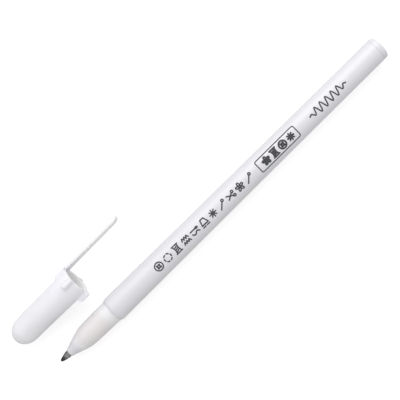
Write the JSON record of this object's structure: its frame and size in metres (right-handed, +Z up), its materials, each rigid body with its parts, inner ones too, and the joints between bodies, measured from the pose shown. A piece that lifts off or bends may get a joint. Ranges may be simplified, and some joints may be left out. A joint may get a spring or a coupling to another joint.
{
  "type": "chalk marking pen",
  "caption": "Slim white marking pen for cloth with a frosted nose and fine ball point, its domed clip cap taken off and laid alongside.",
  "frame": {"origin": "middle of the footprint of the pen and its cap, on the surface that they lie on", "axes": "+X along the pen from its writing point to its tail, +Y from the pen to the cap beside it, +Z up"},
  "size_m": [0.1456, 0.0252, 0.0129],
  "materials": {
    "barrel_plastic": "white, satin",
    "nose_plastic": "frosted, see-through",
    "point_steel": "turned, dark",
    "ball_carbide": "ground",
    "spring_steel": "drawn wire",
    "holder_plastic": "moulded, milky",
    "tube_plastic": "clear, milky",
    "ink": "wet",
    "follower_grease": "clear gel",
    "cap_plastic": "white, satin",
    "seal_rubber": "soft, matte",
    "print_ink": "screen printed"
  },
  "bodies": {
    "pen": {"barrel": "barrel_plastic", "nose_section": "nose_plastic", "tail_plug": "barrel_plastic", "ink_tube": "tube_plastic", "tip_holder": "holder_plastic", "metal_point": "point_steel", "ball_spring": "spring_steel", "ink_charge": "ink"},
    "ball": {"writing_ball": "ball_carbide"},
    "follower": {"ink_follower": "follower_grease"},
    "cap": {"cap_shell": "cap_plastic", "tip_seal": "seal_rubber"},
    "clip": {"clip": "cap_plastic"}
  },
  "joints": [
    {"name": "ball_roll", "type": "hinge", "parent": "pen", "child": "ball", "pos_m": [-0.06683, -0.00825, 0.00433], "axis": [0, 1, 0], "continuous": true},
    {"name": "follower_slide", "type": "slide", "parent": "pen", "child": "follower", "axis": [-1, 0, 0], "range_m": [0, 0.0855], "deforming": ["ink_charge"]},
    {"name": "cap_slide", "type": "slide", "parent": "pen", "child": "cap", "axis": [-1, 0, 0], "range_m": [0, 0.046]},
    {"name": "clip_flex", "type": "hinge", "parent": "cap", "child": "clip", "pos_m": [-0.04496, 0.01131, 0.00586], "axis": [-0.099, 0.1736, 0.9798], "range_deg": [-2, 8], "stiffness_Nm_per_rad": 0.075}
  ]
}
